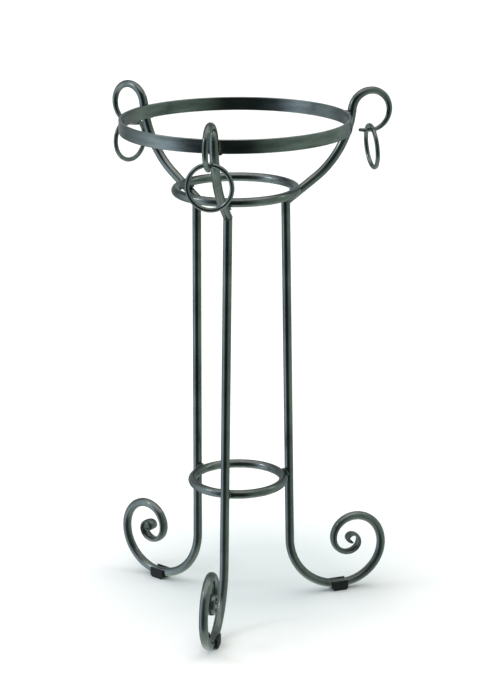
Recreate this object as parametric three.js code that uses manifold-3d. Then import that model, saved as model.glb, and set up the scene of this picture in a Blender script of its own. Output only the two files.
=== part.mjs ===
// Wrought-iron umbrella stand, in millimetres, +Z up.
//
// Three round bars make the legs. Each ends below in a scroll, and stands on a rubber pad
// clipped under its lowest point. Three more bars are mitred and welded to the tops of the
// legs as arms: they carry a flat rim band, and end in curls with a loose ring in each. A
// ring of the same bar ties the arms just above the mitres, and a smaller one ties the legs
// lower down.
//
// One side of the stand is drawn in its own upright plane, where x runs outwards from the
// stand's axis and z runs up. The three sides are alike and are turned about the axis.

import Module from "manifold-3d";
import * as THREE from "three";
import { mergeVertices } from "three/addons/utils/BufferGeometryUtils.js";

const DEGREE = Math.PI / 180;
const QUARTER = 90 * DEGREE;
const HALF_TURN = 180 * DEGREE;

// Stock, and the clearance left wherever two pieces meet
const BAR = 12; // diameter of the legs, the arms and both fixed rings
const TOUCH = 0.3;

// Where a leg and its arm meet
const MITRE_RADIUS = 70;
const MITRE_HEIGHT = 568;
const LEG_SPLAY = 0.68 * DEGREE; // each leg leans out this much from the upright

// Foot pad: a channel of rubber that grips the bar
const PAD_FLOOR = 2.2;
const PAD_WALL = 2.3;
const PAD_LENGTH = 23;
const PAD_HEIGHT = 14;
const PAD_CHAMFER = 3;
const PAD_INSET = 4; // the pad's middle is this far inside the bar's lowest point

// Foot and scroll. The bend radius shrinks by the same ratio with each quarter turn: slowly
// in the open outer turn, and faster in the tight core.
const FOOT_BEND = 77.8;
const SCROLL_START = 67;
const SCROLL_SHRINK = 0.73;
const SCROLL_TURN = 375 * DEGREE;
const CORE_SHRINK = 0.66;
const CORE_TURN = 390 * DEGREE;
const SCROLL_ROUND = 180 * DEGREE; // the bar is round until here, then it is drawn flat
const RIBBON_THICKNESS = 3;
const RIBBON_WIDTH = 18;

// Arm and curl
const ARM_RISE = 34.9 * DEGREE; // the arm's slope above the level where it leaves the mitre
const ARM_STRAIGHT = 50.4;
const ARM_BEND = 126;
const ARM_TOP_HEADING = 83.5 * DEGREE; // the arm's slope as it passes the rim
const CURL_RADIUS = 26.9;
const CURL_TAIL_RADIUS = 97;
const CURL_TAIL_TURN = 10 * DEGREE;
const CURL_TIP = 4.6; // diameter at the very end of the tapered curl

// Fixed rings and rim
const UPPER_RING_ALONG_ARM = 20.2; // from the mitre to the upper ring, along the arm
const LOWER_RING_HEIGHT = 184;
const RIM_RADIUS = 153;
const RIM_THICKNESS = 4;
const RIM_WIDTH = 18;
const RIM_TOP = 686;

// Spacer plate between the rim and an arm
const PLATE_WIDTH = 20;
const PLATE_HEIGHT = 18;
const PLATE_CORNER = 5;
const PLATE_DROP = 1.5; // the plate sits this much below the middle of the rim

// Loose rings
const LOOSE_RADIUS = 28.5; // centre line
const LOOSE_WIRE = 6;

// Welds
const MITRE_BEAD = 2;
const CROSS_BEAD = 2.6;
const CROSS_BEAD_RADIUS = 6.8;
const CROSS_BEAD_SADDLE = 2;
const RIM_BEAD = 2.8;
const RIM_BEAD_LENGTH = 15;

// Fineness of the round shapes
const BAR_SIDES = 12;
const WIRE_SIDES = 8;
const BEAD_SIDES = 6;
const BEAD_STEPS = 12;
const RING_STEPS = 36;
const LOOSE_STEPS = 24;
const RIM_STEPS = 60;
const FOOT_STEPS = 8;
const SCROLL_STEPS = 25;
const CORE_STEPS = 26;
const ARM_STEPS = 8;
const CURL_STEPS = 24;
const TAIL_STEPS = 2;
const CORNER_STEPS = 4;

// The three sides of the stand. The front one was welded with a slight tilt: its top is a
// little to the right and its foot to the left. A loose ring's foot hangs out by its lean,
// and the ring is turned about the upright by its twist.
const TILT_HEIGHT = 400; // the tilt moves nothing sideways here
const SIDES = [
  { name: "front", turn: -90 * DEGREE, tilt: 0.93 * DEGREE, lean: 0, twist: 0 },
  { name: "right", turn: 30 * DEGREE, tilt: 0, lean: 5 * DEGREE, twist: -6.5 * DEGREE },
  { name: "left", turn: 150 * DEGREE, tilt: 0, lean: 0, twist: 0 },
];

const manifold = await Module();
manifold.setup();

// ---------------------------------------------------------------- materials

const IRON_COLOUR = 0x565c58;
const WELD_COLOUR = 0x4c514d;
const RUBBER_COLOUR = 0x16171a;

function ironPaint() {
  return new THREE.MeshStandardMaterial({ color: IRON_COLOUR, roughness: 0.42, metalness: 0.8 });
}

function weldPaint() {
  return new THREE.MeshStandardMaterial({ color: WELD_COLOUR, roughness: 0.55, metalness: 0.75 });
}

function padRubber() {
  return new THREE.MeshStandardMaterial({ color: RUBBER_COLOUR, roughness: 0.85, metalness: 0 });
}

// ---------------------------------------------------------------- bent bars

/** Draws a bar's centre line bend by bend, and keeps a station at the end of each step. */
class BarPath {
  constructor(x, z, heading) {
    this.x = x;
    this.z = z;
    this.heading = heading;
    this.run = 0;
    this.stations = [];
    this.keepStation();
  }

  keepStation() {
    const { x, z, run } = this;
    this.stations.push({ x, z, run, across: this.heading + QUARTER, stretch: 1 });
  }

  straight(length) {
    this.x += length * Math.cos(this.heading);
    this.z += length * Math.sin(this.heading);
    this.run += length;
    this.keepStation();
  }

  /** Bends to the left for a positive turn, and to the right for a negative one. */
  bend(radius, turn, steps) {
    const stepTurn = turn / steps;
    const chord = 2 * radius * Math.sin(Math.abs(stepTurn) / 2);
    for (let step = 0; step < steps; step += 1) {
      const chordHeading = this.heading + stepTurn / 2;
      this.x += chord * Math.cos(chordHeading);
      this.z += chord * Math.sin(chordHeading);
      this.heading += stepTurn;
      this.run += radius * Math.abs(stepTurn);
      this.keepStation();
    }
  }

  /** Bends ever tighter: each quarter turn shrinks the radius by the same ratio. */
  scroll(startRadius, shrink, turn, steps) {
    const stepTurn = turn / steps;
    for (let step = 0; step < steps; step += 1) {
      const quarters = ((step + 0.5) * stepTurn) / QUARTER;
      this.bend(startRadius * shrink ** quarters, stepTurn, 1);
    }
  }

  /** Cuts the bar's first end on a mitre, before any bend, to meet a bar with another heading. */
  mitreStart(otherHeading) {
    const half = (otherHeading - this.heading) / 2;
    const first = this.stations[0];
    first.across += half;
    first.stretch = 1 / Math.cos(half);
  }
}

/** Skins a path's stations with a round or oval section, whose size depends on the run. */
function barGeometry(stations, sectionAt) {
  const spans = stations.length - 1;
  const geometry = new THREE.CylinderGeometry(1, 1, 1, BAR_SIDES, spans);
  const position = geometry.attributes.position;
  for (let i = 0; i < position.count; i += 1) {
    const station = stations[Math.round((position.getY(i) + 0.5) * spans)];
    const { thickness, width } = sectionAt(station.run);
    const reach = (position.getX(i) * station.stretch * thickness) / 2;
    const sideways = (position.getZ(i) * width) / 2;
    const x = station.x + reach * Math.cos(station.across);
    const z = station.z + reach * Math.sin(station.across);
    position.setXYZ(i, x, sideways, z);
  }
  return geometry;
}

// ---------------------------------------------------------------- legs

const LEG_HEADING = LEG_SPLAY - QUARTER;
const FOOT_BAR_HEIGHT = PAD_FLOOR + TOUCH + BAR / 2;
const MITRE_HALF_ANGLE = (QUARTER + LEG_SPLAY - ARM_RISE) / 2;
const MITRE_SETBACK = TOUCH / 2 / Math.cos(MITRE_HALF_ANGLE);

function legPath() {
  const startX = MITRE_RADIUS + MITRE_SETBACK * Math.cos(LEG_HEADING);
  const startZ = MITRE_HEIGHT + MITRE_SETBACK * Math.sin(LEG_HEADING);
  const bendDrop = FOOT_BEND * (1 - Math.sin(LEG_SPLAY));
  const path = new BarPath(startX, startZ, LEG_HEADING);
  path.mitreStart(ARM_RISE - HALF_TURN);
  path.straight((startZ - FOOT_BAR_HEIGHT - bendDrop) / Math.cos(LEG_SPLAY));
  path.bend(FOOT_BEND, -LEG_HEADING, FOOT_STEPS);
  const foot = { x: path.x, run: path.run };
  path.scroll(SCROLL_START, SCROLL_SHRINK, SCROLL_TURN, SCROLL_STEPS);
  const coreStart = SCROLL_START * SCROLL_SHRINK ** (SCROLL_TURN / QUARTER);
  path.scroll(coreStart, CORE_SHRINK, CORE_TURN, CORE_STEPS);
  return { stations: path.stations, foot, length: path.run };
}

/** The run along the scroll after a given turn, from the integral of its radius. */
function scrollRun(turn) {
  const decay = -Math.log(SCROLL_SHRINK) / QUARTER;
  return (SCROLL_START / decay) * (1 - Math.exp(-decay * turn));
}

const LEG = legPath();

function legSection(run) {
  const flatteningStart = LEG.foot.run + scrollRun(SCROLL_ROUND);
  const flattened = THREE.MathUtils.clamp((run - flatteningStart) / (LEG.length - flatteningStart), 0, 1);
  return {
    thickness: THREE.MathUtils.lerp(BAR, RIBBON_THICKNESS, flattened),
    width: THREE.MathUtils.lerp(BAR, RIBBON_WIDTH, flattened),
  };
}

function makeLeg(name) {
  const leg = new THREE.Mesh(barGeometry(LEG.stations, legSection), ironPaint());
  leg.name = name;
  return leg;
}

// ---------------------------------------------------------------- arms

function armPath() {
  const startX = MITRE_RADIUS + MITRE_SETBACK * Math.cos(ARM_RISE);
  const startZ = MITRE_HEIGHT + MITRE_SETBACK * Math.sin(ARM_RISE);
  const path = new BarPath(startX, startZ, ARM_RISE);
  path.mitreStart(QUARTER + LEG_SPLAY);
  path.straight(ARM_STRAIGHT);
  path.bend(ARM_BEND, ARM_TOP_HEADING - ARM_RISE, ARM_STEPS);
  const top = { x: path.x, z: path.z, run: path.run };
  path.bend(CURL_RADIUS, -(ARM_TOP_HEADING + HALF_TURN), CURL_STEPS);
  const hang = { x: path.x, z: path.z, run: path.run };
  path.bend(CURL_TAIL_RADIUS, -CURL_TAIL_TURN, TAIL_STEPS);
  return { stations: path.stations, top, hang, length: path.run };
}

const ARM = armPath();

function armSection(run) {
  const tapered = THREE.MathUtils.clamp((run - ARM.top.run) / (ARM.length - ARM.top.run), 0, 1);
  const thickness = THREE.MathUtils.lerp(BAR, CURL_TIP, tapered);
  return { thickness, width: thickness };
}

function makeArm(name) {
  const arm = new THREE.Mesh(barGeometry(ARM.stations, armSection), ironPaint());
  arm.name = name;
  return arm;
}

// ---------------------------------------------------------------- fixed rings and rim

const CROSSING = BAR + TOUCH; // between the centre lines of two bars that cross and touch

const UPPER_RING = {
  x: MITRE_RADIUS + UPPER_RING_ALONG_ARM * Math.cos(ARM_RISE) - CROSSING * Math.sin(ARM_RISE),
  z: MITRE_HEIGHT + UPPER_RING_ALONG_ARM * Math.sin(ARM_RISE) + CROSSING * Math.cos(ARM_RISE),
};

const LOWER_RING = {
  x: MITRE_RADIUS + (MITRE_HEIGHT - LOWER_RING_HEIGHT) * Math.tan(LEG_SPLAY) - CROSSING,
  z: LOWER_RING_HEIGHT,
};

function makeFixedRing(name, ring) {
  const geometry = new THREE.TorusGeometry(ring.x, BAR / 2, BAR_SIDES, RING_STEPS);
  const mesh = new THREE.Mesh(geometry, ironPaint());
  mesh.name = name;
  mesh.position.z = ring.z;
  return mesh;
}

function makeRimBand(name) {
  const inner = RIM_RADIUS - RIM_THICKNESS;
  const bottom = RIM_TOP - RIM_WIDTH;
  const profile = [
    new THREE.Vector2(inner, bottom),
    new THREE.Vector2(RIM_RADIUS, bottom),
    new THREE.Vector2(RIM_RADIUS, RIM_TOP),
    new THREE.Vector2(inner, RIM_TOP),
    new THREE.Vector2(inner, bottom),
  ];
  const geometry = new THREE.LatheGeometry(profile, RIM_STEPS);
  geometry.rotateX(QUARTER);
  const rim = new THREE.Mesh(geometry, ironPaint());
  rim.name = name;
  return rim;
}

// ---------------------------------------------------------------- spacer plates

// The centre of the arc that the arm follows up to the rim
const ARM_ARC = {
  x: ARM.top.x - ARM_BEND * Math.sin(ARM_TOP_HEADING),
  z: ARM.top.z + ARM_BEND * Math.cos(ARM_TOP_HEADING),
};

/** The x of the arm's inward side at a height beside the rim. */
function armInwardSide(z) {
  return ARM_ARC.x + Math.sqrt((ARM_BEND - BAR / 2) ** 2 - (ARM_ARC.z - z) ** 2);
}

/** A rectangle with round corners, centred on the origin. */
function roundedRectangle(width, height, corner) {
  const x = width / 2;
  const y = height / 2;
  const shape = new THREE.Shape();
  shape.moveTo(-x + corner, -y);
  shape.lineTo(x - corner, -y);
  shape.absarc(x - corner, -y + corner, corner, -QUARTER, 0, false);
  shape.lineTo(x, y - corner);
  shape.absarc(x - corner, y - corner, corner, 0, QUARTER, false);
  shape.lineTo(-x + corner, y);
  shape.absarc(-x + corner, y - corner, corner, QUARTER, HALF_TURN, false);
  shape.lineTo(-x, -y + corner);
  shape.absarc(-x + corner, -y + corner, corner, HALF_TURN, HALF_TURN + QUARTER, false);
  return shape;
}

/** A plate flat on the rim, whose outer face leans with the arm. */
function makeSpacerPlate(name) {
  const outline = roundedRectangle(PLATE_WIDTH, PLATE_HEIGHT, PLATE_CORNER);
  const options = { depth: 1, bevelEnabled: false, curveSegments: CORNER_STEPS };
  const geometry = new THREE.ExtrudeGeometry(outline, options);
  const middle = RIM_TOP - RIM_WIDTH / 2 - PLATE_DROP;
  const position = geometry.attributes.position;
  for (let i = 0; i < position.count; i += 1) {
    const z = middle + position.getY(i);
    const onRim = position.getZ(i) < 0.5;
    const x = onRim ? RIM_RADIUS + TOUCH : armInwardSide(z) - TOUCH;
    position.setXYZ(i, x, position.getX(i), z);
  }
  const plate = new THREE.Mesh(geometry, ironPaint());
  plate.name = name;
  return plate;
}

// ---------------------------------------------------------------- foot pads

function solidFrom(geometry) {
  const bare = geometry.clone();
  bare.deleteAttribute("normal");
  bare.deleteAttribute("uv");
  const merged = mergeVertices(bare);
  const vertProperties = new Float32Array(merged.attributes.position.array);
  const triVerts = new Uint32Array(merged.index.array);
  return new manifold.Manifold(new manifold.Mesh({ numProp: 3, vertProperties, triVerts }));
}

function geometryFrom(solid) {
  const mesh = solid.getMesh();
  const geometry = new THREE.BufferGeometry();
  geometry.setAttribute("position", new THREE.BufferAttribute(mesh.vertProperties, mesh.numProp));
  geometry.setIndex(new THREE.BufferAttribute(mesh.triVerts, 1));
  return geometry;
}

/** The pad's side view, with its two lower corners cut off. */
function padBlock(width) {
  const end = PAD_LENGTH / 2;
  const outline = new THREE.Shape();
  outline.moveTo(-end + PAD_CHAMFER, 0);
  outline.lineTo(end - PAD_CHAMFER, 0);
  outline.lineTo(end, PAD_CHAMFER);
  outline.lineTo(end, PAD_HEIGHT);
  outline.lineTo(-end, PAD_HEIGHT);
  outline.lineTo(-end, PAD_CHAMFER);
  outline.closePath();
  const block = new THREE.ExtrudeGeometry(outline, { depth: width, bevelEnabled: false });
  block.translate(0, 0, -width / 2);
  block.rotateX(QUARTER);
  return block;
}

/** The channel that the bar lies in: half round below, open above. */
function padChannel(width) {
  const outline = new THREE.Shape();
  outline.moveTo(-width / 2, PAD_HEIGHT + 1);
  outline.lineTo(-width / 2, FOOT_BAR_HEIGHT);
  outline.absarc(0, FOOT_BAR_HEIGHT, width / 2, HALF_TURN, 2 * HALF_TURN, false);
  outline.lineTo(width / 2, PAD_HEIGHT + 1);
  outline.closePath();
  const length = PAD_LENGTH + 2;
  const options = { depth: length, bevelEnabled: false, curveSegments: 2 * CORNER_STEPS };
  const channel = new THREE.ExtrudeGeometry(outline, options);
  channel.translate(0, 0, -length / 2);
  channel.rotateX(QUARTER);
  channel.rotateZ(QUARTER);
  return channel;
}

function makeFootPad(name) {
  const slot = BAR + 2 * TOUCH;
  const block = solidFrom(padBlock(slot + 2 * PAD_WALL));
  const pad = new THREE.Mesh(geometryFrom(block.subtract(solidFrom(padChannel(slot)))), padRubber());
  pad.name = name;
  return pad;
}

// ---------------------------------------------------------------- loose rings

function makeLooseRing({ name, lean, twist }) {
  const geometry = new THREE.TorusGeometry(LOOSE_RADIUS, LOOSE_WIRE / 2, WIRE_SIDES, LOOSE_STEPS);
  geometry.rotateY(QUARTER);
  const barRadius = armSection(ARM.hang.run).thickness / 2;
  geometry.translate(0, 0, barRadius + TOUCH + LOOSE_WIRE / 2 - LOOSE_RADIUS);
  const ring = new THREE.Mesh(geometry, ironPaint());
  ring.name = `loose_ring_${name}`;
  ring.rotation.set(0, -lean, twist, "ZYX");
  return ring;
}

// ---------------------------------------------------------------- welds

function beadTorus(radius, bead) {
  return new THREE.TorusGeometry(radius, bead / 2, BEAD_SIDES, BEAD_STEPS);
}

/** A bead round the slanted seam between a leg and its arm. */
function makeMitreWeld(name) {
  const clear = MITRE_BEAD / 2 + TOUCH;
  const sideRadius = BAR / 2 + clear;
  const seamRadius = (BAR / 2 + clear) / Math.cos(MITRE_HALF_ANGLE);
  const geometry = beadTorus(sideRadius, MITRE_BEAD);
  geometry.scale(seamRadius / sideRadius, 1, 1);
  const weld = new THREE.Mesh(geometry, weldPaint());
  weld.name = name;
  weld.position.set(MITRE_RADIUS, 0, MITRE_HEIGHT);
  weld.rotation.y = -(ARM_RISE + MITRE_HALF_ANGLE - QUARTER);
  return weld;
}

/**
 * A bead all round the spot where a ring crosses a bar. It dips on the ring's side where it
 * follows the bar, and on the bar's side where it follows the ring.
 */
function makeCrossWeld(name, ring, barHeading) {
  const geometry = beadTorus(CROSS_BEAD_RADIUS, CROSS_BEAD);
  const position = geometry.attributes.position;
  for (let i = 0; i < position.count; i += 1) {
    const around = Math.atan2(position.getY(i), position.getX(i));
    position.setZ(i, position.getZ(i) + CROSS_BEAD_SADDLE * Math.cos(2 * around));
  }
  const weld = new THREE.Mesh(geometry, weldPaint());
  weld.name = name;
  const toRing = barHeading + QUARTER;
  weld.position.x = ring.x - (CROSSING / 2) * Math.cos(toRing);
  weld.position.z = ring.z - (CROSSING / 2) * Math.sin(toRing);
  weld.rotation.y = -barHeading;
  return weld;
}

/** An upright bead in the corner between a spacer plate and one flank of its arm. */
function makeRimWeld(name, hand) {
  const bead = RIM_BEAD / 2;
  const geometry = new THREE.SphereGeometry(1, BEAD_SIDES + 2, BEAD_SIDES);
  geometry.rotateX(QUARTER);
  geometry.scale(bead, bead, RIM_BEAD_LENGTH / 2);
  const middle = RIM_TOP - RIM_WIDTH / 2;
  const inwards = BAR / 2 - bead;
  const clear = BAR / 2 + bead + TOUCH;
  const weld = new THREE.Mesh(geometry, weldPaint());
  weld.name = name;
  weld.position.x = armInwardSide(middle) + BAR / 2 - inwards;
  weld.position.y = hand * Math.sqrt(clear ** 2 - inwards ** 2);
  weld.position.z = middle;
  weld.rotation.y = QUARTER - Math.acos((ARM_ARC.z - middle) / ARM_BEND);
  return weld;
}

// ---------------------------------------------------------------- assembly

/** The welded pieces of one side, tilted together in the plane that faces the axis. */
function makeFrame({ name, tilt }) {
  const frame = new THREE.Group();
  frame.rotation.x = -tilt;
  frame.position.y = -TILT_HEIGHT * Math.sin(tilt);
  frame.position.z = TILT_HEIGHT * (1 - Math.cos(tilt));
  frame.add(makeLeg(`leg_${name}`));
  frame.add(makeArm(`arm_${name}`));
  frame.add(makeSpacerPlate(`spacer_plate_${name}`));
  frame.add(makeMitreWeld(`mitre_weld_${name}`));
  frame.add(makeCrossWeld(`upper_ring_weld_${name}`, UPPER_RING, ARM_RISE));
  frame.add(makeCrossWeld(`lower_ring_weld_${name}`, LOWER_RING, QUARTER + LEG_SPLAY));
  frame.add(makeRimWeld(`rim_weld_${name}_a`, -1));
  frame.add(makeRimWeld(`rim_weld_${name}_b`, 1));
  return frame;
}

/** One side: its welded frame, with the pad flat on the floor and the ring hanging plumb. */
function makeSide(side) {
  const frame = makeFrame(side);
  frame.updateMatrix();
  const foot = new THREE.Vector3(LEG.foot.x, 0, FOOT_BAR_HEIGHT).applyMatrix4(frame.matrix);
  const hang = new THREE.Vector3(ARM.hang.x, 0, ARM.hang.z).applyMatrix4(frame.matrix);
  const pad = makeFootPad(`foot_pad_${side.name}`);
  const ring = makeLooseRing(side);
  pad.position.set(foot.x - PAD_INSET, foot.y, 0);
  ring.position.copy(hang);
  const group = new THREE.Group();
  group.rotation.z = side.turn;
  group.add(frame, pad, ring);
  return group;
}

const stand = new THREE.Group();
stand.add(makeRimBand("rim_band"));
stand.add(makeFixedRing("upper_ring", UPPER_RING));
stand.add(makeFixedRing("lower_ring", LOWER_RING));
for (const side of SIDES) {
  stand.add(makeSide(side));
}

// The origin is on the floor, under the middle of the whole stand's outer box.
const middle = new THREE.Box3().setFromObject(stand, true).getCenter(new THREE.Vector3());
stand.position.set(-middle.x, -middle.y, 0);

export default stand;
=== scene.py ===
"""The visible pieces of the wrought-iron umbrella stand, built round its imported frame.

Three round bars are bent into legs with scroll feet and three more into arms with curls. A
flat rim band and two bar rings tie them together, a loose ring hangs in each curl, and a
rubber pad is clipped under each foot. Each piece has an operator, and main() runs them all.
"""

import math

import bmesh
import bpy
from bpy.props import FloatProperty, FloatVectorProperty, PointerProperty
from bpy.types import Operator, Panel, PropertyGroup
from mathutils import Matrix, Vector, noise


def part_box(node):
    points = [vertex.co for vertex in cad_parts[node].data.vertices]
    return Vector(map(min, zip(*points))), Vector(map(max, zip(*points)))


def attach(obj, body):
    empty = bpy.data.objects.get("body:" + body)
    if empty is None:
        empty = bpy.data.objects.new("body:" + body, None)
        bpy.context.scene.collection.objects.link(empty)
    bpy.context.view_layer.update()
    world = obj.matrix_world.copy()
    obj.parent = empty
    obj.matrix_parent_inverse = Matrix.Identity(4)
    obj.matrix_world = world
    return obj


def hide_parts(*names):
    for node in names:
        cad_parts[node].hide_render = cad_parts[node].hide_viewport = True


bl_info = {
    "name": "Umbrella Stand",
    "version": (1, 0, 0),
    "blender": (4, 5, 0),
    "location": "View3D > Sidebar > Umbrella Stand",
    "description": "Models a wrought-iron umbrella stand round its packed frame",
    "category": "Object",
}

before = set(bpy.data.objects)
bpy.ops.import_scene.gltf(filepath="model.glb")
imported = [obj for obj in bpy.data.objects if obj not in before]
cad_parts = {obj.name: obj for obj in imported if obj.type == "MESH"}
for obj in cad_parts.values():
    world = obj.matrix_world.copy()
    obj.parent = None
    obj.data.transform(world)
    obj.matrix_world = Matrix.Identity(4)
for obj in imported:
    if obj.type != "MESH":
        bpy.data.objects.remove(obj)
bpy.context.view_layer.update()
RIM_LOW, RIM_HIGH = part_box("rim_band")
STAND_AXIS = (RIM_LOW + RIM_HIGH) / 2

QUARTER = math.pi / 2
HALF_TURN = math.pi
FULL_TURN = 2 * math.pi
MILLIMETRE = 0.001

# How finely the round shapes are drawn
BAR_SIDES = 24
WIRE_SIDES = 20
BEAD_SIDES = 12
LEG_STEPS = 6
BEND_STEPS = 24
SCROLL_STEP = math.radians(5)
RING_STEPS = 128
BEAD_STEPS = 48


# ---------------------------------------------------------------- sizes and colours


class StandSizes(PropertyGroup):
    """The sizes that the bent bars, rings and welds are drawn from."""

    bar: FloatProperty(
        name="Bar",
        description="Diameter of the legs, the arms and both fixed rings",
        default=0.012,
        unit="LENGTH",
    )
    gap: FloatProperty(
        name="Gap",
        description="Clearance left wherever two pieces meet",
        default=0.0003,
        unit="LENGTH",
    )
    mitre_radius: FloatProperty(
        name="Mitre radius",
        description="From the stand's axis to where a leg meets its arm",
        default=0.070,
        unit="LENGTH",
    )
    mitre_height: FloatProperty(
        name="Mitre height",
        description="From the floor to where a leg meets its arm",
        default=0.568,
        unit="LENGTH",
    )
    leg_splay: FloatProperty(
        name="Leg splay",
        description="How far each leg leans out from the upright",
        default=math.radians(0.68),
        unit="ROTATION",
    )
    foot_bend: FloatProperty(
        name="Foot bend",
        description="Radius of the bend from the leg into the foot",
        default=0.0778,
        unit="LENGTH",
    )
    scroll_start: FloatProperty(
        name="Scroll start",
        description="Bend radius where the foot begins to scroll",
        default=0.067,
        unit="LENGTH",
    )
    ribbon_thickness: FloatProperty(
        name="Ribbon thickness",
        description="Thickness of the flattened end of the scroll",
        default=0.003,
        unit="LENGTH",
    )
    ribbon_width: FloatProperty(
        name="Ribbon width",
        description="Width of the flattened end of the scroll",
        default=0.018,
        unit="LENGTH",
    )
    arm_rise: FloatProperty(
        name="Arm rise",
        description="Slope of the arm where it leaves the mitre",
        default=math.radians(34.9),
        unit="ROTATION",
    )
    arm_bend: FloatProperty(
        name="Arm bend",
        description="Radius of the arm's upward bend",
        default=0.126,
        unit="LENGTH",
    )
    curl_radius: FloatProperty(
        name="Curl radius",
        description="Radius of the curl at the top of the arm",
        default=0.0269,
        unit="LENGTH",
    )
    curl_tip: FloatProperty(
        name="Curl tip",
        description="Diameter at the very end of the tapered curl",
        default=0.0046,
        unit="LENGTH",
    )
    rim_edge: FloatProperty(
        name="Rim edge",
        description="How far the rim band's edges are rounded over",
        default=0.0009,
        unit="LENGTH",
    )
    rim_thickness: FloatProperty(
        name="Rim thickness",
        description="Thickness of the rim band",
        default=0.004,
        unit="LENGTH",
    )
    loose_wire: FloatProperty(
        name="Loose ring wire",
        description="Diameter of the loose rings' wire",
        default=0.006,
        unit="LENGTH",
    )
    loose_radius: FloatProperty(
        name="Loose ring radius",
        description="Radius of the loose rings, to the middle of the wire",
        default=0.0285,
        unit="LENGTH",
    )


class StandFinish(PropertyGroup):
    """The colours of the paint and the rubber, and of the stage with the floor's painted shadow.
    """

    iron_dark: FloatVectorProperty(
        name="Iron, dark",
        description="The paint where it is darkest",
        default=(0.060, 0.070, 0.066),
        subtype="COLOR",
        min=0,
        max=1,
    )
    iron_light: FloatVectorProperty(
        name="Iron, light",
        description="The paint where it is lightest",
        default=(0.122, 0.136, 0.128),
        subtype="COLOR",
        min=0,
        max=1,
    )
    iron_rubbed: FloatVectorProperty(
        name="Iron, rubbed",
        description="Bare iron where the paint is worn thin",
        default=(0.30, 0.30, 0.31),
        subtype="COLOR",
        min=0,
        max=1,
    )
    # The painted shade in a weld's hollows, where its bumps dip
    weld_hollow_shade: FloatVectorProperty(
        name="Weld, dark",
        description="The paint in the hollows of a weld",
        default=(0.035, 0.042, 0.038),
        subtype="COLOR",
        min=0,
        max=1,
    )
    weld_light: FloatVectorProperty(
        name="Weld, light",
        description="The paint on the crests of a weld",
        default=(0.12, 0.135, 0.125),
        subtype="COLOR",
        min=0,
        max=1,
    )
    rubber: FloatVectorProperty(
        name="Rubber",
        description="The pads' colour",
        default=(0.005, 0.005, 0.006),
        subtype="COLOR",
        min=0,
        max=1,
    )
    rubber_dust: FloatVectorProperty(
        name="Rubber dust",
        description="The pads' colour where they are dusty",
        default=(0.016, 0.017, 0.019),
        subtype="COLOR",
        min=0,
        max=1,
    )
    floor: FloatVectorProperty(
        name="Floor",
        description="The floor's colour away from the stand",
        default=(0.98, 0.955, 0.945),
        subtype="COLOR",
        min=0,
        max=1,
    )
    # The colour of the floor's painted shadow round the feet
    floor_painted_shadow: FloatVectorProperty(
        name="Floor, near",
        description="The floor's colour under the stand",
        default=(0.67, 0.695, 0.70),
        subtype="COLOR",
        min=0,
        max=1,
    )


# The three sides: each turned about the stand's axis, the front one tilted a little in its
# own plane about a point at the tilt's height. A loose ring's foot hangs out by its lean, and
# the ring is turned by its twist. All four are in degrees.
TILT_HEIGHT = 0.4
SIDES = {
    "front": {"turn": -90, "tilt": 0.93, "lean": 0, "twist": 0},
    "right": {"turn": 30, "tilt": 0, "lean": 5, "twist": -6.5},
    "left": {"turn": 150, "tilt": 0, "lean": 0, "twist": 0},
}

# The scroll of a foot, then its tighter core: what is left of the bend radius with each quarter
# turn, and how far each turns
SCROLL_SHRINK = 0.73
CORE_SHRINK = 0.66
SCROLL_TURN = math.radians(375)
CORE_TURN = math.radians(390)
SCROLL_ROUND = math.radians(180)  # the bar stays round until here, then it is drawn flat
PAD_FLOOR = 0.0022  # the pad's thickness under the bar

# The arm's straight start, its heading where the curl begins, and the curl's wider tail
ARM_STRAIGHT = 0.0504
ARM_TOP_HEADING = math.radians(83.5)
CURL_TAIL_RADIUS = 0.097
CURL_TAIL_TURN = math.radians(10)

# How far the pieces' edges are rounded over
CUT_END_ROUNDING = 0.4 * MILLIMETRE
RIBBON_END_ROUNDING = 0.9 * MILLIMETRE
CURL_END_ROUNDING = 1.4 * MILLIMETRE
PLATE_ROUNDING = 0.8 * MILLIMETRE
PAD_ROUNDING = 0.6 * MILLIMETRE
CLEAR_ANGLE = math.radians(25)  # faces that meet at more than this have an edge to round
FLAT_ANGLE = math.radians(1)  # and at less than this they are one face

# How near two vertices lie to be merged: where a spin closes, and in a frame node's triangles
SEAM_MERGE = 1e-7
TRIANGLE_MERGE = 1e-6

# The weld beads' thickness, how high and how wide the lumps on them are, and how far apart the
# seeds of one kind's lumps stand
MITRE_BEAD = 1.3 * MILLIMETRE
MITRE_BEAD_SINK = 0.4 * MILLIMETRE
MITRE_LUMPS = (0.3 * MILLIMETRE, 2.5 * MILLIMETRE)
SADDLE_BEAD = 3.4 * MILLIMETRE
SADDLE_DIP = 2.4 * MILLIMETRE
SADDLE_RADIUS = 0.47  # of the bar's diameter
RING_WELD_LUMPS = (0.5 * MILLIMETRE, 3 * MILLIMETRE)
RIM_WELD_LUMPS = (0.7 * MILLIMETRE, 3 * MILLIMETRE)
SEED_STEP = 10

# Where the paint is rubbed: round each curl's lowest point, each loose ring's highest and
# along the rim band's edges
CURL_RUB_REACH = 11 * MILLIMETRE
RING_RUB_REACH = 10 * MILLIMETRE
RIM_RUB_DEPTH = 0.4 * MILLIMETRE
TOP_EDGE_RUB = 1.0
BOTTOM_EDGE_RUB = 0.5


def side_place(side):
    """The matrix that takes a side's own upright plane to its place on the stand."""
    facts = SIDES[side]
    about = Matrix.Translation((STAND_AXIS.x, STAND_AXIS.y, 0))
    turned = Matrix.Rotation(math.radians(facts["turn"]), 4, "Z")
    up = Matrix.Translation((0, 0, TILT_HEIGHT))
    tilted = Matrix.Rotation(-math.radians(facts["tilt"]), 4, "X")
    return about @ turned @ up @ tilted @ up.inverted()


# ---------------------------------------------------------------- bent bars


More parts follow.
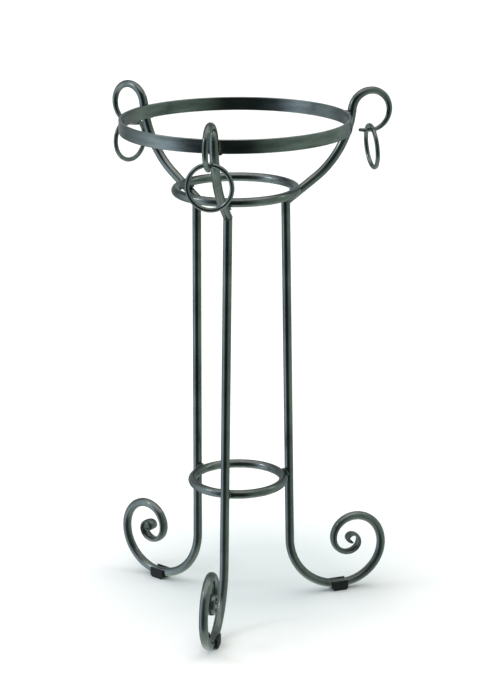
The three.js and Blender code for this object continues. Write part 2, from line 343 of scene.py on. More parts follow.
class BarPath:
    """A bar's centre line, drawn bend by bend, with a station at the end of each step."""

    def __init__(self, x, z, heading):
        self.x = x
        self.z = z
        self.heading = heading
        self.run = 0.0
        self.stations = []
        self.keep_station()

    def keep_station(self):
        station = {"x": self.x, "z": self.z, "run": self.run}
        self.stations.append({**station, "across": self.heading + QUARTER, "stretch": 1.0})

    def straight(self, length, steps):
        for _ in range(steps):
            self.x += length / steps * math.cos(self.heading)
            self.z += length / steps * math.sin(self.heading)
            self.run += length / steps
            self.keep_station()

    def bend(self, radius, turn, steps):
        """Bends to the left for a positive turn, and to the right for a negative one."""
        step_turn = turn / steps
        chord = 2 * radius * math.sin(abs(step_turn) / 2)
        for _ in range(steps):
            self.x += chord * math.cos(self.heading + step_turn / 2)
            self.z += chord * math.sin(self.heading + step_turn / 2)
            self.heading += step_turn
            self.run += radius * abs(step_turn)
            self.keep_station()

    def scroll(self, radius, shrink, turn):
        """Bends ever tighter, and returns the radius that it ends with."""
        steps = round(turn / SCROLL_STEP)
        for step in range(steps):
            middle = (step + 0.5) * turn / steps
            self.bend(radius * shrink ** (middle / QUARTER), turn / steps, 1)
        return radius * shrink ** (turn / QUARTER)

    def cut_mitre(self, other_heading):
        """Cuts the bar's first end on a mitre, to meet a bar with another heading."""
        half = (other_heading - self.heading) / 2
        self.stations[0]["across"] += half
        self.stations[0]["stretch"] = 1 / math.cos(half)


def mitre_half_angle(sizes):
    return (QUARTER + sizes.leg_splay - sizes.arm_rise) / 2


def mitre_start(sizes, heading):
    """Where a bar's centre line starts, so that the two mitred ends stay just clear."""
    setback = sizes.gap / 2 / math.cos(mitre_half_angle(sizes))
    x = sizes.mitre_radius + setback * math.cos(heading)
    z = sizes.mitre_height + setback * math.sin(heading)
    return BarPath(x, z, heading)


def foot_bar_height(sizes):
    return PAD_FLOOR + sizes.gap + sizes.bar / 2


def leg_path(sizes):
    """The leg's path, with the runs at which its bar starts and ends being drawn flat."""
    path = mitre_start(sizes, sizes.leg_splay - QUARTER)
    path.cut_mitre(sizes.arm_rise - HALF_TURN)
    bend_drop = sizes.foot_bend * (1 - math.sin(sizes.leg_splay))
    drop = path.z - foot_bar_height(sizes) - bend_drop
    path.straight(drop / math.cos(sizes.leg_splay), LEG_STEPS)
    path.bend(sizes.foot_bend, -path.heading, BEND_STEPS)
    decay = -math.log(SCROLL_SHRINK) / QUARTER
    flat_from = path.run + sizes.scroll_start / decay * (1 - math.exp(-decay * SCROLL_ROUND))
    core_start = path.scroll(sizes.scroll_start, SCROLL_SHRINK, SCROLL_TURN)
    path.scroll(core_start, CORE_SHRINK, CORE_TURN)
    return path, flat_from


def arm_path(sizes):
    """The arm's path, with the run at the top of its bend and the station it hangs a ring on."""
    path = mitre_start(sizes, sizes.arm_rise)
    path.cut_mitre(QUARTER + sizes.leg_splay)
    path.straight(ARM_STRAIGHT, LEG_STEPS)
    path.bend(sizes.arm_bend, ARM_TOP_HEADING - sizes.arm_rise, BEND_STEPS)
    top_run = path.run
    path.bend(sizes.curl_radius, -(ARM_TOP_HEADING + HALF_TURN), 3 * BEND_STEPS)
    hang = path.stations[-1]
    path.bend(CURL_TAIL_RADIUS, -CURL_TAIL_TURN, LEG_STEPS)
    return path, top_run, hang


def section_place(station, thickness, width):
    """The matrix that puts a unit circle square across the path at a station."""
    across = Vector((math.cos(station["across"]), 0, math.sin(station["across"])))
    sideways = Vector((0, 1, 0))
    along = across.cross(sideways)
    place = Matrix((across, sideways, along)).transposed().to_4x4()
    place.translation = (station["x"], 0, station["z"])
    reach = thickness / 2 * station["stretch"]
    half_width = width / 2
    return place @ Matrix.Diagonal((reach, half_width, half_width, 1))


def edges_between(verts):
    """The edges whose two ends are both among the given vertices, in the same order each run."""
    found = dict.fromkeys(edge for vert in verts for edge in vert.link_edges)
    return [edge for edge in found if all(vert in verts for vert in edge.verts)]


def skin_bar(places, end_round):
    """A bar through the placed circles: one circle is extruded from each to the next."""
    bm = bmesh.new()
    bmesh.ops.create_circle(bm, segments=BAR_SIDES, radius=1)
    loop = list(bm.edges)
    bmesh.ops.transform(bm, matrix=places[0], verts=bm.verts)
    first_end = loop
    for before, after in zip(places, places[1:]):
        grown = bmesh.ops.extrude_edge_only(bm, edges=loop)["geom"]
        verts = [item for item in grown if isinstance(item, bmesh.types.BMVert)]
        bmesh.ops.transform(bm, matrix=after @ before.inverted(), verts=verts)
        loop = edges_between(verts)
    for end, rounding in ((first_end, CUT_END_ROUNDING), (loop, end_round)):
        bmesh.ops.edgeloop_fill(bm, edges=end)
        bmesh.ops.bevel(
            bm, geom=end, offset=rounding, segments=3, profile=0.5, affect="EDGES", material=-1
        )
    return bm


# ---------------------------------------------------------------- finishing a piece


def spin_round(bm, steps):
    """Spins everything in the mesh a full turn about the upright."""
    bmesh.ops.spin(
        bm,
        geom=list(bm.verts) + list(bm.edges),
        cent=(0, 0, 0),
        axis=(0, 0, 1),
        angle=FULL_TURN,
        steps=steps,
        use_merge=True,
    )
    bmesh.ops.remove_doubles(bm, verts=bm.verts, dist=SEAM_MERGE)


def spun_ring(radius, wire, sides, steps):
    """A ring of round wire, flat about the origin."""
    bm = bmesh.new()
    upright = Matrix.Translation((radius, 0, 0)) @ Matrix.Rotation(QUARTER, 4, "X")
    bmesh.ops.create_circle(bm, segments=sides, radius=wire / 2, matrix=upright)
    spin_round(bm, steps)
    return bm


def place_mesh(bm, place):
    """Moves the whole mesh to a place given as a matrix."""
    bmesh.ops.transform(bm, matrix=place, verts=bm.verts)


def keep_within(bm, node):
    """Draws a mesh in by the hair that its finer steps stand out of its node's box."""
    low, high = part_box(node)
    for axis in range(3):
        lowest = min(vert.co[axis] for vert in bm.verts)
        highest = max(vert.co[axis] for vert in bm.verts)
        start = max(lowest, low[axis])
        scale = (min(highest, high[axis]) - start) / (highest - lowest)
        for vert in bm.verts:
            vert.co[axis] = start + (vert.co[axis] - lowest) * scale


def make_piece(bm, node, body, material):
    """Makes the mesh a piece that rides on a body and stands for a node of the frame."""
    keep_within(bm, node)
    bmesh.ops.recalc_face_normals(bm, faces=bm.faces)
    mesh = bpy.data.meshes.new(node + "_piece")
    bm.to_mesh(mesh)
    bm.free()
    for polygon in mesh.polygons:
        polygon.use_smooth = True
    mesh.materials.append(material)
    piece = bpy.data.objects.new(node + "_piece", mesh)
    bpy.context.scene.collection.objects.link(piece)
    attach(piece, body)
    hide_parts(node)
    return piece


def harden(piece):
    """Keeps the broad faces of a piece flat beside their rounded edges."""
    modifier = piece.modifiers.new("Weighted normals", "WEIGHTED_NORMAL")
    modifier.keep_sharp = True


def mark_rub(piece, rub_at):
    """Keeps on each vertex how far its paint is rubbed, from 0 to 1."""
    values = [rub_at(vertex.co) for vertex in piece.data.vertices]
    piece.data.attributes.new("rub", "FLOAT", "POINT").data.foreach_set("value", values)


def rub_near(centre, reach):
    """Rubbing that is strongest at a point and fades out at its reach."""
    return lambda point: max(0.0, 1 - (point - centre).length / reach)


def no_rub(point):
    return 0.0


def lump(bm, height, grain, seed):
    """Moves the vertices in and out a little, as a weld bead freezes."""
    bm.normal_update()
    shift = Vector((seed, 0, 0))
    for vert in bm.verts:
        vert.co += vert.normal * height * noise.noise(vert.co / grain + shift)


# ---------------------------------------------------------------- materials


# The numbers of a Mix node's sockets when it mixes colours
MIX_FACTOR = 0
MIX_FIRST = 6
MIX_SECOND = 7
MIX_RESULT = 2

# How noise is squeezed along each axis, and how deep the paint's broad dents are: on the round
# bars, and on the flat band
EVEN = (1, 1, 1)
BAND_STREAKS = (1, 1, 6)
DENT_DEPTH = 0.6 * MILLIMETRE
BAND_DENT_DEPTH = 1.4 * MILLIMETRE


class Nodes:
    """Adds nodes to one tree. Inputs are given by name or number, as values or as sockets."""

    def __init__(self, tree):
        self.tree = tree
        tree.nodes.clear()

    def add(self, kind, inputs=None, **settings):
        """Adds a node, makes its settings and then fills or links its inputs."""
        node = self.tree.nodes.new(kind)
        for name, value in settings.items():
            setattr(node, name, value)
        for name, value in (inputs or {}).items():
            if isinstance(value, bpy.types.NodeSocket):
                self.tree.links.new(value, node.inputs[name])
            else:
                node.inputs[name].default_value = value
        return node

    def between(self, fraction, low, high, from_low=0.35, from_high=0.65):
        """Maps a fraction from the range given, or a noise's usual one, to low and high."""
        inputs = {
            "Value": fraction,
            "From Min": from_low,
            "From Max": from_high,
            "To Min": low,
            "To Max": high,
        }
        return self.add("ShaderNodeMapRange", inputs).outputs["Result"]

    def mix(self, fraction, first, second):
        """Mixes two colours."""
        inputs = {MIX_FACTOR: fraction, MIX_FIRST: first, MIX_SECOND: second}
        return self.add("ShaderNodeMix", inputs, data_type="RGBA").outputs[MIX_RESULT]


class Shading(Nodes):
    """Builds one material's nodes, on the piece's own coordinates."""

    def __init__(self, name):
        self.material = bpy.data.materials.new(name)
        self.material.use_nodes = True
        super().__init__(self.material.node_tree)
        self.coordinates = self.add("ShaderNodeTexCoord").outputs["Object"]

    def noise(self, size, detail=3, squeeze=EVEN):
        """Cloudy noise whose patches are about the given size, in metres."""
        mapped = self.add("ShaderNodeMapping", {"Vector": self.coordinates, "Scale": squeeze})
        inputs = {"Vector": mapped.outputs[0], "Scale": 1 / size, "Detail": detail}
        return self.add("ShaderNodeTexNoise", inputs).outputs["Fac"]

    def multiply(self, first, second):
        node = self.add("ShaderNodeMath", {0: first, 1: second}, operation="MULTIPLY")
        return node.outputs[0]

    def bump(self, height, distance, strength, normal=None):
        """Bumps of the given distance in metres, over another normal if there is one."""
        inputs = {"Height": height, "Distance": distance, "Strength": strength}
        if normal:
            inputs["Normal"] = normal
        return self.add("ShaderNodeBump", inputs).outputs["Normal"]

    def finish(self, inputs):
        """Ends the material in one shader with the given inputs, and returns it."""
        shader = self.add("ShaderNodeBsdfPrincipled", inputs)
        self.add("ShaderNodeOutputMaterial", {"Surface": shader.outputs[0]})
        return self.material


def opaque(colour):
    return (*colour, 1.0)


def iron_material(name, finish, streaks=EVEN, depth=DENT_DEPTH):
    """Satin gunmetal paint: cloudy, and brushed thin where hands and rings rub. Towards the
    floor it is less metallic and so lighter, a painted reflection of the floor."""
    shading = Shading(name)
    clouds = shading.noise(size=0.045, detail=4, squeeze=streaks)
    grain = shading.noise(size=0.006, squeeze=streaks)
    speckle = shading.noise(size=0.0012, detail=2)
    cloudy = shading.mix(
        shading.between(clouds, 0, 1), opaque(finish.iron_dark), opaque(finish.iron_light)
    )
    grainy = shading.between(grain, low=0, high=0.35)
    toned = shading.mix(grainy, cloudy, opaque(finish.iron_light))
    rub = shading.add("ShaderNodeAttribute", attribute_name="rub").outputs["Fac"]
    worn = shading.multiply(rub, shading.between(speckle, low=0.35, high=1.0))
    colour = shading.mix(worn, toned, opaque(finish.iron_rubbed))
    patches = shading.noise(size=0.02, squeeze=streaks)
    rough = shading.between(patches, low=0.13, high=0.23)
    height = shading.add("ShaderNodeSeparateXYZ", {0: shading.coordinates}).outputs["Z"]
    # Less metallic towards the floor, so the lower bars look lighter: a painted reflection of
    # the floor
    floor_reflection_metallic = shading.between(height, low=0.74, high=0.96, from_low=0.09, from_high=0.27)
    dents = shading.bump(clouds, distance=depth, strength=0.35)
    pebbled = shading.bump(speckle, distance=0.0001, strength=0.5, normal=dents)
    return shading.finish(
        {"Base Color": colour, "Metallic": floor_reflection_metallic, "Roughness": rough, "Normal": pebbled}
    )


def weld_material(name, finish):
    """The same paint over rough weld metal, with painted shade in its hollows and the paint's
    lighter tone on its crests.
    """
    shading = Shading(name)
    crust = shading.noise(size=0.0016, detail=4)
    ripple = shading.noise(size=0.005)
    # Darker where the crust's bumps dip: painted shade in the weld's hollows
    colour = shading.mix(
        shading.between(crust, 0, 1), opaque(finish.weld_hollow_shade), opaque(finish.weld_light)
    )
    rough = shading.between(ripple, low=0.38, high=0.6)
    rippled = shading.bump(ripple, distance=0.0006, strength=0.6)
    crusted = shading.bump(crust, distance=0.00025, strength=0.7, normal=rippled)
    return shading.finish(
        {"Base Color": colour, "Metallic": 0.7, "Roughness": rough, "Normal": crusted}
    )


def rubber_material(name, finish):
    """Matt black moulded rubber with a dusty bloom and a fine moulded grain."""
    shading = Shading(name)
    bloom = shading.noise(size=0.008, detail=4)
    grain = shading.noise(size=0.0007, detail=2)
    colour = shading.mix(
        shading.between(bloom, 0, 1), opaque(finish.rubber), opaque(finish.rubber_dust)
    )
    rough = shading.between(bloom, low=0.62, high=0.85)
    grained = shading.bump(grain, distance=0.0001, strength=0.5)
    return shading.finish(
        {"Base Color": colour, "Roughness": rough, "Specular IOR Level": 0.2, "Normal": grained}
    )


def kept_material(name, maker, *arguments):
    """The material of that name, made the first time it is asked for."""
    return bpy.data.materials.get(name) or maker(name, *arguments)


def iron_paint():
    return kept_material("satin_gunmetal", iron_material, bpy.context.scene.stand_finish)


def band_paint():
    """The iron paint, streaked along the flat band."""
    finish = bpy.context.scene.stand_finish
    return kept_material(
        "streaked_gunmetal", iron_material, finish, BAND_STREAKS, BAND_DENT_DEPTH
    )


def weld_paint():
    return kept_material("weld_crust", weld_material, bpy.context.scene.stand_finish)


def pad_rubber():
    return kept_material("dusty_rubber", rubber_material, bpy.context.scene.stand_finish)


# ---------------------------------------------------------------- operators


class STAND_OT_legs(Operator):
    """Model the three legs, with their scroll feet"""

    bl_idname = "stand.legs"
    bl_label = "Legs"

    def execute(self, context):
        sizes = context.scene.stand_sizes
        path, flat_from = leg_path(sizes)
        places = [
            section_place(station, *leg_section(sizes, station["run"], flat_from, path.run))
            for station in path.stations
        ]
        for side in SIDES:
            bm = skin_bar(places, RIBBON_END_ROUNDING)
            place_mesh(bm, side_place(side))
            leg = make_piece(bm, "leg_" + side, "stand", iron_paint())
            mark_rub(leg, no_rub)
        return {"FINISHED"}


def leg_section(sizes, run, flat_from, length):
    """The bar's thickness and width: round, then drawn out to a flat ribbon."""
    flattened = max(0.0, (run - flat_from) / (length - flat_from))
    thickness = sizes.bar + (sizes.ribbon_thickness - sizes.bar) * flattened
    width = sizes.bar + (sizes.ribbon_width - sizes.bar) * flattened
    return thickness, width


class STAND_OT_arms(Operator):
    """Model the three arms, with their tapered curls"""

    bl_idname = "stand.arms"
    bl_label = "Arms"

    def execute(self, context):
        sizes = context.scene.stand_sizes
        path, top_run, hang = arm_path(sizes)
        places = [
            section_place(station, *arm_section(sizes, station["run"], top_run, path.run))
            for station in path.stations
        ]
        for side in SIDES:
            bm = skin_bar(places, CURL_END_ROUNDING)
            place_mesh(bm, side_place(side))
            arm = make_piece(bm, "arm_" + side, "stand", iron_paint())
            contact = side_place(side) @ Vector((hang["x"], 0, hang["z"]))
            mark_rub(arm, rub_near(contact, CURL_RUB_REACH))
        return {"FINISHED"}


def arm_section(sizes, run, top_run, length):
    """The bar's thickness and width: the same all round, and tapered along the curl."""
    tapered = max(0.0, (run - top_run) / (length - top_run))
    thickness = sizes.bar + (sizes.curl_tip - sizes.bar) * tapered
    return thickness, thickness


class STAND_OT_rim(Operator):
    """Model the flat rim band"""

    bl_idname = "stand.rim"
    bl_label = "Rim Band"

    def execute(self, context):
        sizes = context.scene.stand_sizes
        radius = (RIM_HIGH.x - RIM_LOW.x) / 2
        width = RIM_HIGH.z - RIM_LOW.z
        bm = bmesh.new()
        middle = Matrix.Translation((radius - sizes.rim_thickness / 2, 0, STAND_AXIS.z))
        upright = Matrix.Rotation(QUARTER, 4, "X")
        shape = Matrix.Diagonal((sizes.rim_thickness / 2, width / 2, 1, 1))
        place = middle @ upright @ shape
        bmesh.ops.create_grid(bm, x_segments=1, y_segments=1, size=1, matrix=place)
        bmesh.ops.delete(bm, geom=list(bm.faces), context="FACES_ONLY")
        spin_round(bm, 2 * RING_STEPS)
        corners = [edge for edge in bm.edges if edge.calc_face_angle(0) > QUARTER / 2]
        bmesh.ops.bevel(
            bm,
            geom=corners,
            offset=sizes.rim_edge,
            segments=3,
            profile=0.5,
            affect="EDGES",
            material=-1,
        )
        place_mesh(bm, Matrix.Translation((STAND_AXIS.x, STAND_AXIS.y, 0)))
        rim = make_piece(bm, "rim_band", "stand", band_paint())
        harden(rim)
        mark_rub(rim, self.edge_rub)
        return {"FINISHED"}

    @staticmethod
    def edge_rub(point):
        """The top edge is rubbed most, and the bottom edge a little."""
        if point.z > RIM_HIGH.z - RIM_RUB_DEPTH:
            return TOP_EDGE_RUB
        return BOTTOM_EDGE_RUB if point.z < RIM_LOW.z + RIM_RUB_DEPTH else 0.0


class STAND_OT_fixed_rings(Operator):
    """Model the two bar rings that tie the arms and the legs"""

    bl_idname = "stand.fixed_rings"
    bl_label = "Fixed Rings"

    def execute(self, context):
        sizes = context.scene.stand_sizes
        for node in ("upper_ring", "lower_ring"):
            low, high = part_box(node)
            middle = (low + high) / 2
            radius = (high.x - low.x - sizes.bar) / 2
            bm = spun_ring(radius, sizes.bar, BAR_SIDES, RING_STEPS)
            place_mesh(bm, Matrix.Translation((STAND_AXIS.x, STAND_AXIS.y, middle.z)))
            ring = make_piece(bm, node, "stand", iron_paint())
            mark_rub(ring, no_rub)
        return {"FINISHED"}


class STAND_OT_loose_rings(Operator):
    """Model the loose rings that hang in the curls"""

    bl_idname = "stand.loose_rings"
    bl_label = "Loose Rings"

    def execute(self, context):
        sizes = context.scene.stand_sizes
        path, top_run, hang = arm_path(sizes)
        thickness, _ = arm_section(sizes, hang["run"], top_run, path.run)
        above = thickness / 2 + sizes.gap + sizes.loose_wire / 2
        for side, facts in SIDES.items():
            bm = spun_ring(sizes.loose_radius, sizes.loose_wire, WIRE_SIDES, RING_STEPS // 2)
            place_mesh(bm, Matrix.Rotation(QUARTER, 4, "Y"))
            place_mesh(bm, Matrix.Translation((0, 0, above - sizes.loose_radius)))
            lean = Matrix.Rotation(-math.radians(facts["lean"]), 4, "Y")
            turn = Matrix.Rotation(math.radians(facts["turn"] + facts["twist"]), 4, "Z")
            contact = side_place(side) @ Vector((hang["x"], 0, hang["z"]))
            place_mesh(bm, Matrix.Translation(contact) @ turn @ lean)
            body = "ring_" + side
            ring = make_piece(bm, "loose_ring_" + side, body, iron_paint())
            mark_rub(ring, rub_near(contact + Vector((0, 0, above)), RING_RUB_REACH))
        return {"FINISHED"}


class STAND_OT_spacer_plates(Operator):
    """Model the plates between the rim and the arms"""

    bl_idname = "stand.spacer_plates"
    bl_label = "Spacer Plates"

    def execute(self, context):
        for side in SIDES:
            node = "spacer_plate_" + side
            bm = merged_node(node)
            soften_edges(bm, PLATE_ROUNDING)
            plate = make_piece(bm, node, "stand", iron_paint())
            harden(plate)
            mark_rub(plate, no_rub)
        return {"FINISHED"}


def merged_node(node):
    """A copy of a frame node's mesh, with its loose triangles merged and its flats cleared."""
    bm = bmesh.new()
    bm.from_mesh(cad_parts[node].data)
    bmesh.ops.remove_doubles(bm, verts=bm.verts, dist=TRIANGLE_MERGE)
    bmesh.ops.dissolve_limit(
        bm, angle_limit=FLAT_ANGLE, verts=list(bm.verts), edges=list(bm.edges)
    )
    return bm


def soften_edges(bm, rounding):
    """Rounds over every edge where two faces meet at a clear angle."""
    sharp = [edge for edge in bm.edges if edge.calc_face_angle(0) > CLEAR_ANGLE]
    bmesh.ops.bevel(
        bm,
        geom=sharp,
        offset=rounding,
        segments=2,
        profile=0.5,
        affect="EDGES",
        clamp_overlap=True,
        material=-1,
    )


class STAND_OT_foot_pads(Operator):
    """Model the rubber pads under the feet"""

    bl_idname = "stand.foot_pads"
    bl_label = "Foot Pads"

    def execute(self, context):
        for side in SIDES:
            node = "foot_pad_" + side
            bm = merged_node(node)
            soften_edges(bm, PAD_ROUNDING)
            pad = make_piece(bm, node, "stand", pad_rubber())
            harden(pad)
        return {"FINISHED"}


class STAND_OT_mitre_welds(Operator):
    """Model the seams where the legs meet the arms"""

    bl_idname = "stand.mitre_welds"
    bl_label = "Mitre Welds"

    def execute(self, context):
        sizes = context.scene.stand_sizes
        half = mitre_half_angle(sizes)
        radius = sizes.bar / 2 - MITRE_BEAD_SINK
        for number, side in enumerate(SIDES):
            bm = spun_ring(radius, MITRE_BEAD, BEAD_SIDES, BEAD_STEPS)
            lump(bm, *MITRE_LUMPS, SEED_STEP * number)
            slant = Matrix.Rotation(-(sizes.arm_rise + half - QUARTER), 4, "Y")
            stretch = Matrix.Diagonal((1 / math.cos(half), 1, 1, 1))
            corner = Matrix.Translation((sizes.mitre_radius, 0, sizes.mitre_height))
            place_mesh(bm, side_place(side) @ corner @ slant @ stretch)
            make_piece(bm, "mitre_weld_" + side, "stand", weld_paint())
        return {"FINISHED"}


class STAND_OT_ring_welds(Operator):
    """Model the welds where the fixed rings cross the arms and the legs"""

    bl_idname = "stand.ring_welds"
    bl_label = "Ring Welds"

    def execute(self, context):
        sizes = context.scene.stand_sizes
        headings = {"upper_ring": sizes.arm_rise, "lower_ring": QUARTER + sizes.leg_splay}
        for ring, heading in headings.items():
            for number, side in enumerate(SIDES):
                bm = saddle_bead(sizes)
                lump(bm, *RING_WELD_LUMPS, SEED_STEP * number + len(ring))
                low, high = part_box(ring)
                crossing = sizes.bar + sizes.gap
                radius = (high.x - low.x - sizes.bar) / 2
                height = (low.z + high.z) / 2
                x = radius - crossing / 2 * math.cos(heading + QUARTER)
                z = height - crossing / 2 * math.sin(heading + QUARTER)
                spot = Matrix.Translation((x, 0, z)) @ Matrix.Rotation(-heading, 4, "Y")
                place_mesh(bm, side_place(side) @ spot)
                node = f"{ring}_weld_{side}"
                make_piece(bm, node, "stand", weld_paint())
        return {"FINISHED"}


def saddle_bead(sizes):
    """A bead all round a crossing, which dips where it follows one bar or the other."""
    bm = spun_ring(SADDLE_RADIUS * sizes.bar, SADDLE_BEAD, BEAD_SIDES, BEAD_STEPS)
    for vert in bm.verts:
        around = math.atan2(vert.co.y, vert.co.x)
        vert.co.z += SADDLE_DIP * math.cos(2 * around)
    return bm


class STAND_OT_rim_welds(Operator):
    """Model the welds in the corners between the spacer plates and the arms"""

    bl_idname = "stand.rim_welds"
    bl_label = "Rim Welds"

    def execute(self, context):
        for side in SIDES:
            for hand in ("a", "b"):
                node = f"rim_weld_{side}_{hand}"
                low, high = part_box(node)
                size = (high - low) / 2
                bm = bmesh.new()
                bmesh.ops.create_icosphere(bm, subdivisions=4, radius=1)
                place_mesh(bm, Matrix.Diagonal((*size, 1)))
                place_mesh(bm, Matrix.Translation((low + high) / 2))
                lump(bm, *RIM_WELD_LUMPS, ord(hand))
                make_piece(bm, node, "stand", weld_paint())
        return {"FINISHED"}


# ---------------------------------------------------------------- stage


class STAND_OT_stage(Operator):
    """Lay the floor, light the stand and set the camera"""

    bl_idname = "stand.stage"
    bl_label = "Stage"

    def execute(self, context):
        make_floor(context)
        make_sky(context)
        make_lights(context)
        make_camera(context)
        context.scene.view_settings.view_transform = "Standard"
        return {"FINISHED"}


FLOOR_REACH = 40
FLOOR_ROUGHNESS = 0.9
WALL_HEIGHT = 30

# The floor's painted shadow, a darker patch round the feet: how far it reaches, where its
# middle is, and how near the middle it is at its darkest, from 0 at its edge to 1 there
FLOOR_SHADE_REACH = 0.34
FLOOR_SHADE_MIDDLE = STAND_AXIS + Vector((0.01, 0.11, 0))
FLOOR_SHADE_FULL = 0.7

# The screens, by degrees round the stand from the front, first to the right: nothing in front,
# a greenish one at the right, a dim stretch behind, and the brightest, a bluish one, at the left
SCREENS = [
    (0, (0.05, 0.07, 0.06)),
    (24, (0.05, 0.07, 0.06)),
    (60, (0.72, 0.90, 0.80)),
    (125, (0.90, 1.10, 0.98)),
    (155, (0.35, 0.40, 0.40)),
    (236, (0.35, 0.40, 0.42)),
    (256, (0.85, 1.00, 1.08)),
    (284, (1.80, 2.05, 2.30)),
    (303, (1.75, 2.00, 2.35)),
    (325, (0.22, 0.27, 0.31)),
    (346, (0.05, 0.07, 0.07)),
]
FULL_CIRCLE = 360
SCREENS_TURN = math.radians(270)  # brings the ramp's start to the front

# The light above the screens and below them, and the heights between which each takes over,
# from 1 straight overhead to -1 straight down
OVERHEAD = (2.1, 2.05, 2.0)
OVERHEAD_HEIGHTS = (0.68, 0.9)
UNDERFOOT = (1.35, 1.55, 1.40)
UNDERFOOT_HEIGHTS = (-0.6, -0.9)

SOFT_BOXES = {
    "soft_box_left": {
        "place": (-1.8, -0.7, 1.7),
        "size": 0.35,
        "power": 6,
        "colour": (1.0, 0.97, 1.0),
    },
    "soft_box_right": {
        "place": (1.9, 0.9, 2.0),
        "size": 0.6,
        "power": 3,
        "colour": (0.98, 1.0, 1.0),
    },
}
SOFT_BOX_AIM_HEIGHT = 0.4

CAMERA_PLACE = (0.5475, -2.7657, 1.2197)
CAMERA_LENS = 113.5
CAMERA_HEADING = math.radians(10.754)
CAMERA_PITCH = -0.29003  # from the level, in radians, as the roll is
CAMERA_ROLL = -0.0057
CAMERA_FARTHEST = 200


def make_floor(context):
    """A wide pale floor with a wall far off, and a painted shadow round the feet that is faintly
    cooler and darker. It is hidden from reflections, bounced light and shadow rays, which find
    the world in its place."""
    finish = context.scene.stand_finish
    mesh = bpy.data.meshes.new("floor")
    bm = bmesh.new()
    bmesh.ops.create_circle(bm, cap_ends=True, segments=96, radius=FLOOR_REACH)
    wall = bmesh.ops.extrude_edge_only(bm, edges=list(bm.edges))["geom"]
    raised = [item for item in wall if isinstance(item, bmesh.types.BMVert)]
    bmesh.ops.translate(bm, vec=(0, 0, WALL_HEIGHT), verts=raised)
    bm.to_mesh(mesh)
    bm.free()
    shading = Shading("floor")
    shrink = 1 / FLOOR_SHADE_REACH
    centred = shading.add(
        "ShaderNodeMapping",
        {
            "Vector": shading.coordinates,
            "Location": (-shrink * FLOOR_SHADE_MIDDLE.x, -shrink * FLOOR_SHADE_MIDDLE.y, 0),
            "Scale": (shrink, shrink, 1),
        },
    )
    painted_shadow_nearness = shading.add(
        "ShaderNodeTexGradient", {"Vector": centred.outputs[0]}, gradient_type="SPHERICAL"
    )
    # The floor is painted darker and cooler towards the patch's middle: a painted shadow round
    # the feet
    soft = shading.between(painted_shadow_nearness.outputs["Fac"], 0, 1, 0, FLOOR_SHADE_FULL)
    colour = shading.mix(soft, opaque(finish.floor), opaque(finish.floor_painted_shadow))
    material = shading.finish({"Base Color": colour, "Roughness": FLOOR_ROUGHNESS})
    mesh.materials.append(material)
    floor = bpy.data.objects.new("floor", mesh)
    floor.visible_glossy = False
    floor.visible_diffuse = False
    floor.visible_shadow = False
    context.scene.collection.objects.link(floor)


def make_sky(context):
    """Screens stand round the stand, between the light overhead and the light underfoot."""
    world = bpy.data.worlds.new("studio")
    context.scene.world = world
    world.use_nodes = True
    nodes = Nodes(world.node_tree)
    direction = nodes.add("ShaderNodeTexCoord").outputs["Generated"]
    turned = nodes.add(
        "ShaderNodeMapping", {"Vector": direction, "Rotation": (0, 0, SCREENS_TURN)}
    )
    around = nodes.add(
        "ShaderNodeTexGradient", {"Vector": turned.outputs[0]}, gradient_type="RADIAL"
    )
    screens = nodes.add("ShaderNodeValToRGB", {"Fac": around.outputs["Fac"]})
    fill_ramp(screens.color_ramp, SCREENS)
    height = nodes.add("ShaderNodeSeparateXYZ", {0: direction}).outputs["Z"]
    over = nodes.between(height, 0, 1, *OVERHEAD_HEIGHTS)
    under = nodes.between(height, 0, 1, *UNDERFOOT_HEIGHTS)
    lit = nodes.mix(over, screens.outputs["Color"], opaque(OVERHEAD))
    lit = nodes.mix(under, lit, opaque(UNDERFOOT))
    background = nodes.add("ShaderNodeBackground", {"Color": lit})
    nodes.add("ShaderNodeOutputWorld", {"Surface": background.outputs[0]})


def fill_ramp(ramp, stops):
    """Sets a colour ramp's stops, given by their degrees round a full circle. A new ramp has two
    stops already."""
    for number, (degrees, colour) in enumerate(stops):
        share = degrees / FULL_CIRCLE
        stop = ramp.elements[number] if number < 2 else ramp.elements.new(share)
        stop.position = share
        stop.color = opaque(colour)


def make_lights(context):
    """A soft box high on the left for the highlights, and a weaker one on the right."""
    target = Vector((STAND_AXIS.x, STAND_AXIS.y, SOFT_BOX_AIM_HEIGHT))
    for name, facts in SOFT_BOXES.items():
        data = bpy.data.lights.new(name, "AREA")
        data.size = facts["size"]
        data.energy = facts["power"]
        data.color = facts["colour"]
        light = bpy.data.objects.new(name, data)
        light.location = facts["place"]
        aim = target - light.location
        light.rotation_euler = aim.to_track_quat("-Z", "Y").to_euler()
        context.scene.collection.objects.link(light)


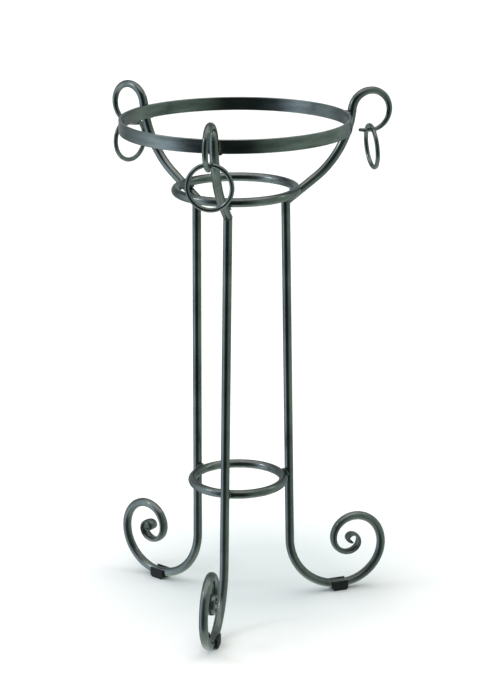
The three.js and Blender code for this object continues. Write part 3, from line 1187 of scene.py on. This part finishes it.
def make_camera(context):
    """The camera stands in front, a little to the right and above, and looks slightly down."""
    data = bpy.data.cameras.new("camera")
    data.lens = CAMERA_LENS
    data.clip_end = CAMERA_FARTHEST
    camera = bpy.data.objects.new("camera", data)
    camera.location = CAMERA_PLACE
    heading = Matrix.Rotation(CAMERA_HEADING, 4, "Z")
    pitch = Matrix.Rotation(QUARTER + CAMERA_PITCH, 4, "X")
    roll = Matrix.Rotation(CAMERA_ROLL, 4, "Z")
    camera.rotation_euler = (heading @ pitch @ roll).to_euler()
    context.scene.collection.objects.link(camera)
    context.scene.camera = camera


# ---------------------------------------------------------------- add-on


class STAND_PT_pieces(Panel):
    """Lists the stand's pieces in the sidebar"""

    bl_idname = "STAND_PT_pieces"
    bl_label = "Umbrella Stand"
    bl_space_type = "VIEW_3D"
    bl_region_type = "UI"
    bl_category = "Umbrella Stand"

    def draw(self, context):
        layout = self.layout
        for operator in OPERATORS:
            layout.operator(operator.bl_idname)
        for settings in (context.scene.stand_sizes, context.scene.stand_finish):
            for name in settings.bl_rna.properties.keys():
                if name not in ("rna_type", "name"):
                    layout.prop(settings, name)


OPERATORS = (
    STAND_OT_stage,
    STAND_OT_legs,
    STAND_OT_arms,
    STAND_OT_rim,
    STAND_OT_fixed_rings,
    STAND_OT_loose_rings,
    STAND_OT_spacer_plates,
    STAND_OT_foot_pads,
    STAND_OT_mitre_welds,
    STAND_OT_ring_welds,
    STAND_OT_rim_welds,
)
CLASSES = (StandSizes, StandFinish, *OPERATORS, STAND_PT_pieces)


def register():
    for entry in CLASSES:
        bpy.utils.register_class(entry)
    bpy.types.Scene.stand_sizes = PointerProperty(type=StandSizes)
    bpy.types.Scene.stand_finish = PointerProperty(type=StandFinish)


def unregister():
    del bpy.types.Scene.stand_finish
    del bpy.types.Scene.stand_sizes
    for entry in reversed(CLASSES):
        bpy.utils.unregister_class(entry)


def main():
    """Builds every piece in order."""
    register()
    bpy.ops.stand.stage()
    bpy.ops.stand.legs()
    bpy.ops.stand.arms()
    bpy.ops.stand.rim()
    bpy.ops.stand.fixed_rings()
    bpy.ops.stand.loose_rings()
    bpy.ops.stand.spacer_plates()
    bpy.ops.stand.foot_pads()
    bpy.ops.stand.mitre_welds()
    bpy.ops.stand.ring_welds()
    bpy.ops.stand.rim_welds()


if __name__ == "__main__":
    main()
